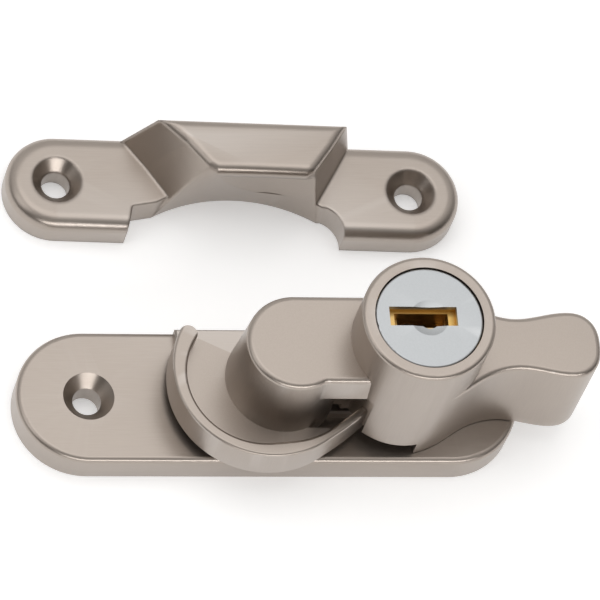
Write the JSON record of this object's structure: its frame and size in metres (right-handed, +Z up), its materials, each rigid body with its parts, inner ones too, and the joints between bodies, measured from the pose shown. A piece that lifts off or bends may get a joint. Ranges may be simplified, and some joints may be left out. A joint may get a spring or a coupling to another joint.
{
  "type": "keyed sash window fastener",
  "caption": "Satin nickel keyed sash window fastener with a swinging crescent cam and a separate two-hole keeper.",
  "frame": {"origin": "midway between the base plate's two screw holes, on its underside", "axes": "+X along the base plate towards the lever's grip, +Y towards the keeper, +Z up off the sash rail"},
  "size_m": [0.0782, 0.0523, 0.0289],
  "materials": {
    "satin_nickel": "satin",
    "bright_steel": "bright satin",
    "steel": "plain",
    "brass": "machined",
    "bronze": "sheet"
  },
  "bodies": {
    "base": {"base_plate": "satin_nickel", "bearing_collar": "steel", "stop_pin": "steel"},
    "lever": {"lever_body": "satin_nickel", "crescent": "satin_nickel", "spindle": "steel", "retaining_clip": "steel", "flat_washer": "steel", "friction_washer": "bronze", "crescent_screws": "steel", "cylinder_shell": "brass", "shell_grub_screw": "steel"},
    "bolt": {"lock_bolt": "steel"},
    "plug": {"plug": "brass", "plug_face_cap": "bright_steel", "tail_cam": "brass", "tail_screw": "steel", "wafer_spring": "steel"},
    "wafers_odd": {"wafer_1": "brass", "wafer_3": "brass", "wafer_5": "brass"},
    "wafers_even": {"wafer_2": "brass", "wafer_4": "brass"},
    "keeper": {"keeper": "satin_nickel"}
  },
  "joints": [
    {"name": "lever_swing", "type": "hinge", "parent": "base", "child": "lever", "pos_m": [0.001, 0.0006, 0], "axis": [0, 0, 1], "range_deg": [-90, 0]},
    {"name": "plug_turn", "type": "hinge", "parent": "lever", "child": "plug", "pos_m": [0.0176, 0.0006, 0.02], "axis": [0, 0, 1], "range_deg": [0, 90]},
    {"name": "bolt_slide", "type": "slide", "parent": "lever", "child": "bolt", "axis": [-1, 0, 0], "range_m": [0, 0.00371]},
    {"name": "wafers_out", "type": "slide", "parent": "plug", "child": "wafers_odd", "axis": [1, 0, 0], "range_m": [0, 0.0006]},
    {"name": "wafers_back", "type": "slide", "parent": "plug", "child": "wafers_even", "axis": [-1, 0, 0], "range_m": [0, 0.0006]},
    {"name": "keeper_approach", "type": "slide", "parent": "base", "child": "keeper", "axis": [0, -1, 0], "range_m": [0, 0.01485]}
  ],
  "couplings": [
    {"joint": "bolt_slide", "follows": "plug_turn", "m_per_rad": 0.0023555},
    {"joint": "wafers_back", "follows": "wafers_out", "ratio": 1}
  ]
}
